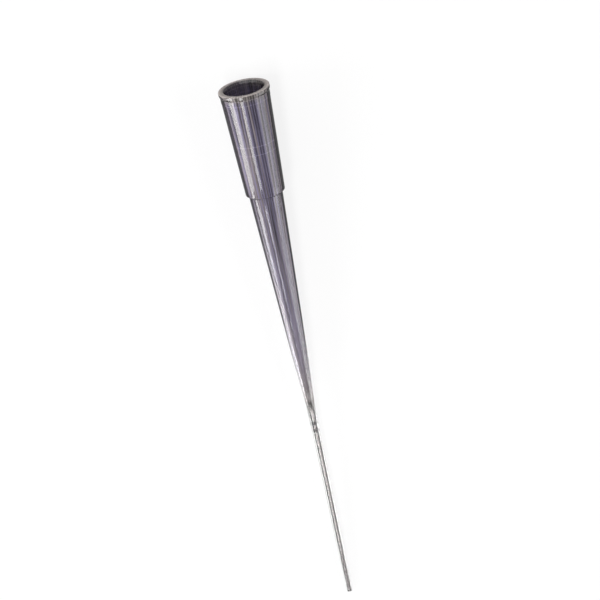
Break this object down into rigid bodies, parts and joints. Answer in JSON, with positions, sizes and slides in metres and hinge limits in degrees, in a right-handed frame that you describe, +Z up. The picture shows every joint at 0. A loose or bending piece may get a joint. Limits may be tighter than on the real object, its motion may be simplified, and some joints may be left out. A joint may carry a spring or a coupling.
{
  "type": "gel-loading pipette tip",
  "caption": "Long slender pipette tip with a tapered socket at its wide mouth, a stepped collar, a long cone and a fine capillary end.",
  "frame": {"origin": "on the surface that the tip lies on, under the middle of its bounding box", "axes": "+Z up; +X along the tip towards its mouth; the tip's own axis lies in the XZ plane and rises 2.48 degrees towards the mouth, because the lip is wider than the capillary"},
  "size_m": [0.083, 0.0078, 0.0079],
  "materials": {
    "clear_polypropylene": "clear, faintly smoky violet-grey, polished"
  },
  "bodies": {
    "root": {"pipette_tip": "clear_polypropylene"}
  },
  "joints": []
}
